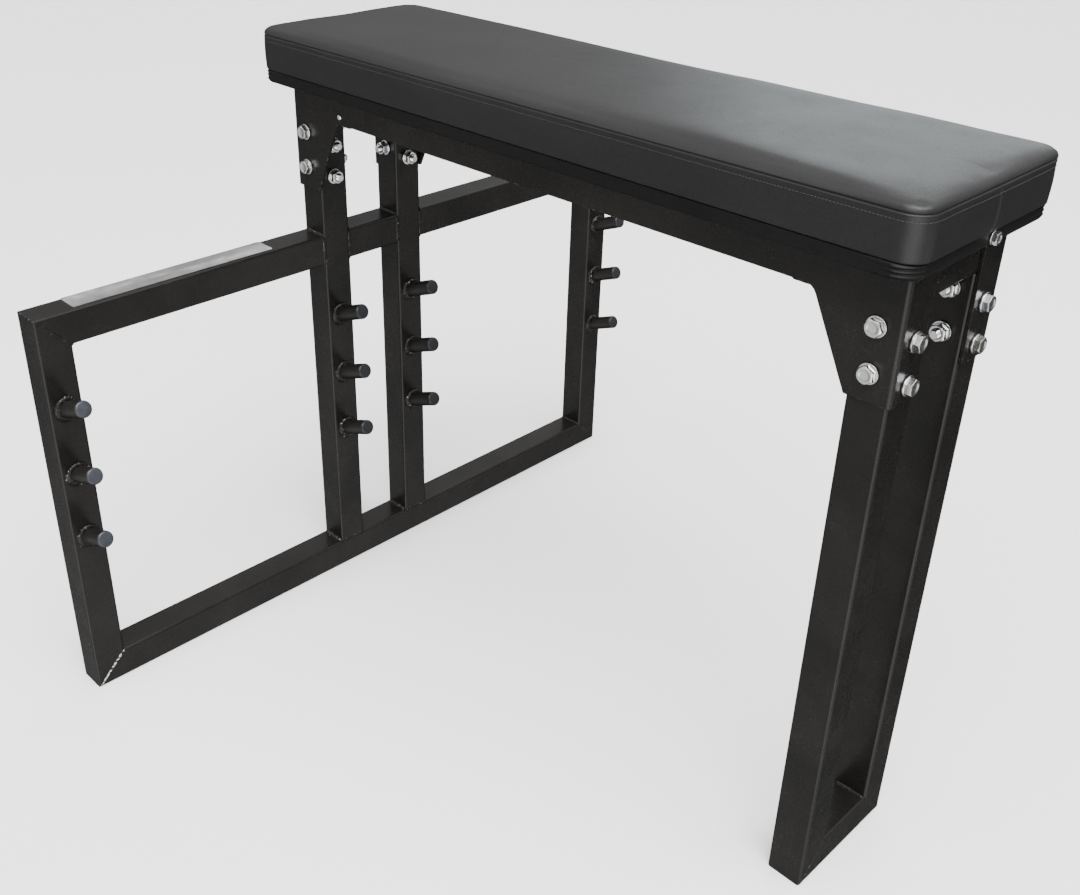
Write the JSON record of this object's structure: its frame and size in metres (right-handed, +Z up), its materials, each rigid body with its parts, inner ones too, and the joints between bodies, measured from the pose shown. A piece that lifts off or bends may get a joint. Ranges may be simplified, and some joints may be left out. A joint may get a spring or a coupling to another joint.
{
  "type": "prone row bench",
  "caption": "High padded bench for prone rowing: a long cushion on a seat frame, a wide rack frame with tilted bar pegs at one end and a narrow leg frame at the other.",
  "frame": {"origin": "on the floor, under the middle of the object's box", "axes": "+X along the bench from the rack frame to the narrow leg frame, the way the pegs point; +Y across the bench; +Z up"},
  "size_m": [1.09, 1.17, 0.968],
  "materials": {
    "black_paint": "glossy black powder coat",
    "zinc_fastener": "bright zinc plate",
    "brushed_label": "fine brushed, satin",
    "wrapped_board": "board wrapped in black grained vinyl",
    "black_vinyl": "black grained upholstery vinyl over foam"
  },
  "bodies": {
    "root": {"end_bolt_front_left_1": "zinc_fastener", "end_bolt_front_left_2": "zinc_fastener", "end_bolt_front_right_1": "zinc_fastener", "end_bolt_front_right_2": "zinc_fastener", "end_bolt_rear_left_1": "zinc_fastener", "end_bolt_rear_left_2": "zinc_fastener", "end_bolt_rear_right_1": "zinc_fastener", "end_bolt_rear_right_2": "zinc_fastener", "label_plate": "brushed_label", "leg_foot_rail": "black_paint", "leg_upright_left": "black_paint", "leg_upright_right": "black_paint", "pad_board": "wrapped_board", "pad_cushion": "black_vinyl", "pad_end_bolt": "zinc_fastener", "pad_screw_1": "zinc_fastener", "pad_screw_2": "zinc_fastener", "pad_screw_3": "zinc_fastener", "pad_screw_4": "zinc_fastener", "peg_inner_left_high": "black_paint", "peg_inner_left_low": "black_paint", "peg_inner_left_middle": "black_paint", "peg_inner_right_high": "black_paint", "peg_inner_right_low": "black_paint", "peg_inner_right_middle": "black_paint", "peg_outer_left_high": "black_paint", "peg_outer_left_low": "black_paint", "peg_outer_left_middle": "black_paint", "peg_outer_right_high": "black_paint", "peg_outer_right_low": "black_paint", "peg_outer_right_middle": "black_paint", "plate_screw_left": "zinc_fastener", "plate_screw_right": "zinc_fastener", "rack_bottom_rail": "black_paint", "rack_inner_upright_left": "black_paint", "rack_inner_upright_right": "black_paint", "rack_outer_upright_left": "black_paint", "rack_outer_upright_right": "black_paint", "rack_top_rail_left": "black_paint", "rack_top_rail_middle": "black_paint", "rack_top_rail_right": "black_paint", "seat_cross_member_front": "black_paint", "seat_cross_member_mid_1": "black_paint", "seat_cross_member_mid_2": "black_paint", "seat_cross_member_rear": "black_paint", "seat_side_plate_left": "black_paint", "seat_side_plate_right": "black_paint", "side_bolt_front_left_1": "zinc_fastener", "side_bolt_front_left_2": "zinc_fastener", "side_bolt_front_right_1": "zinc_fastener", "side_bolt_front_right_2": "zinc_fastener", "side_bolt_rear_left_1": "zinc_fastener", "side_bolt_rear_left_2": "zinc_fastener", "side_bolt_rear_right_1": "zinc_fastener", "side_bolt_rear_right_2": "zinc_fastener"}
  },
  "joints": []
}
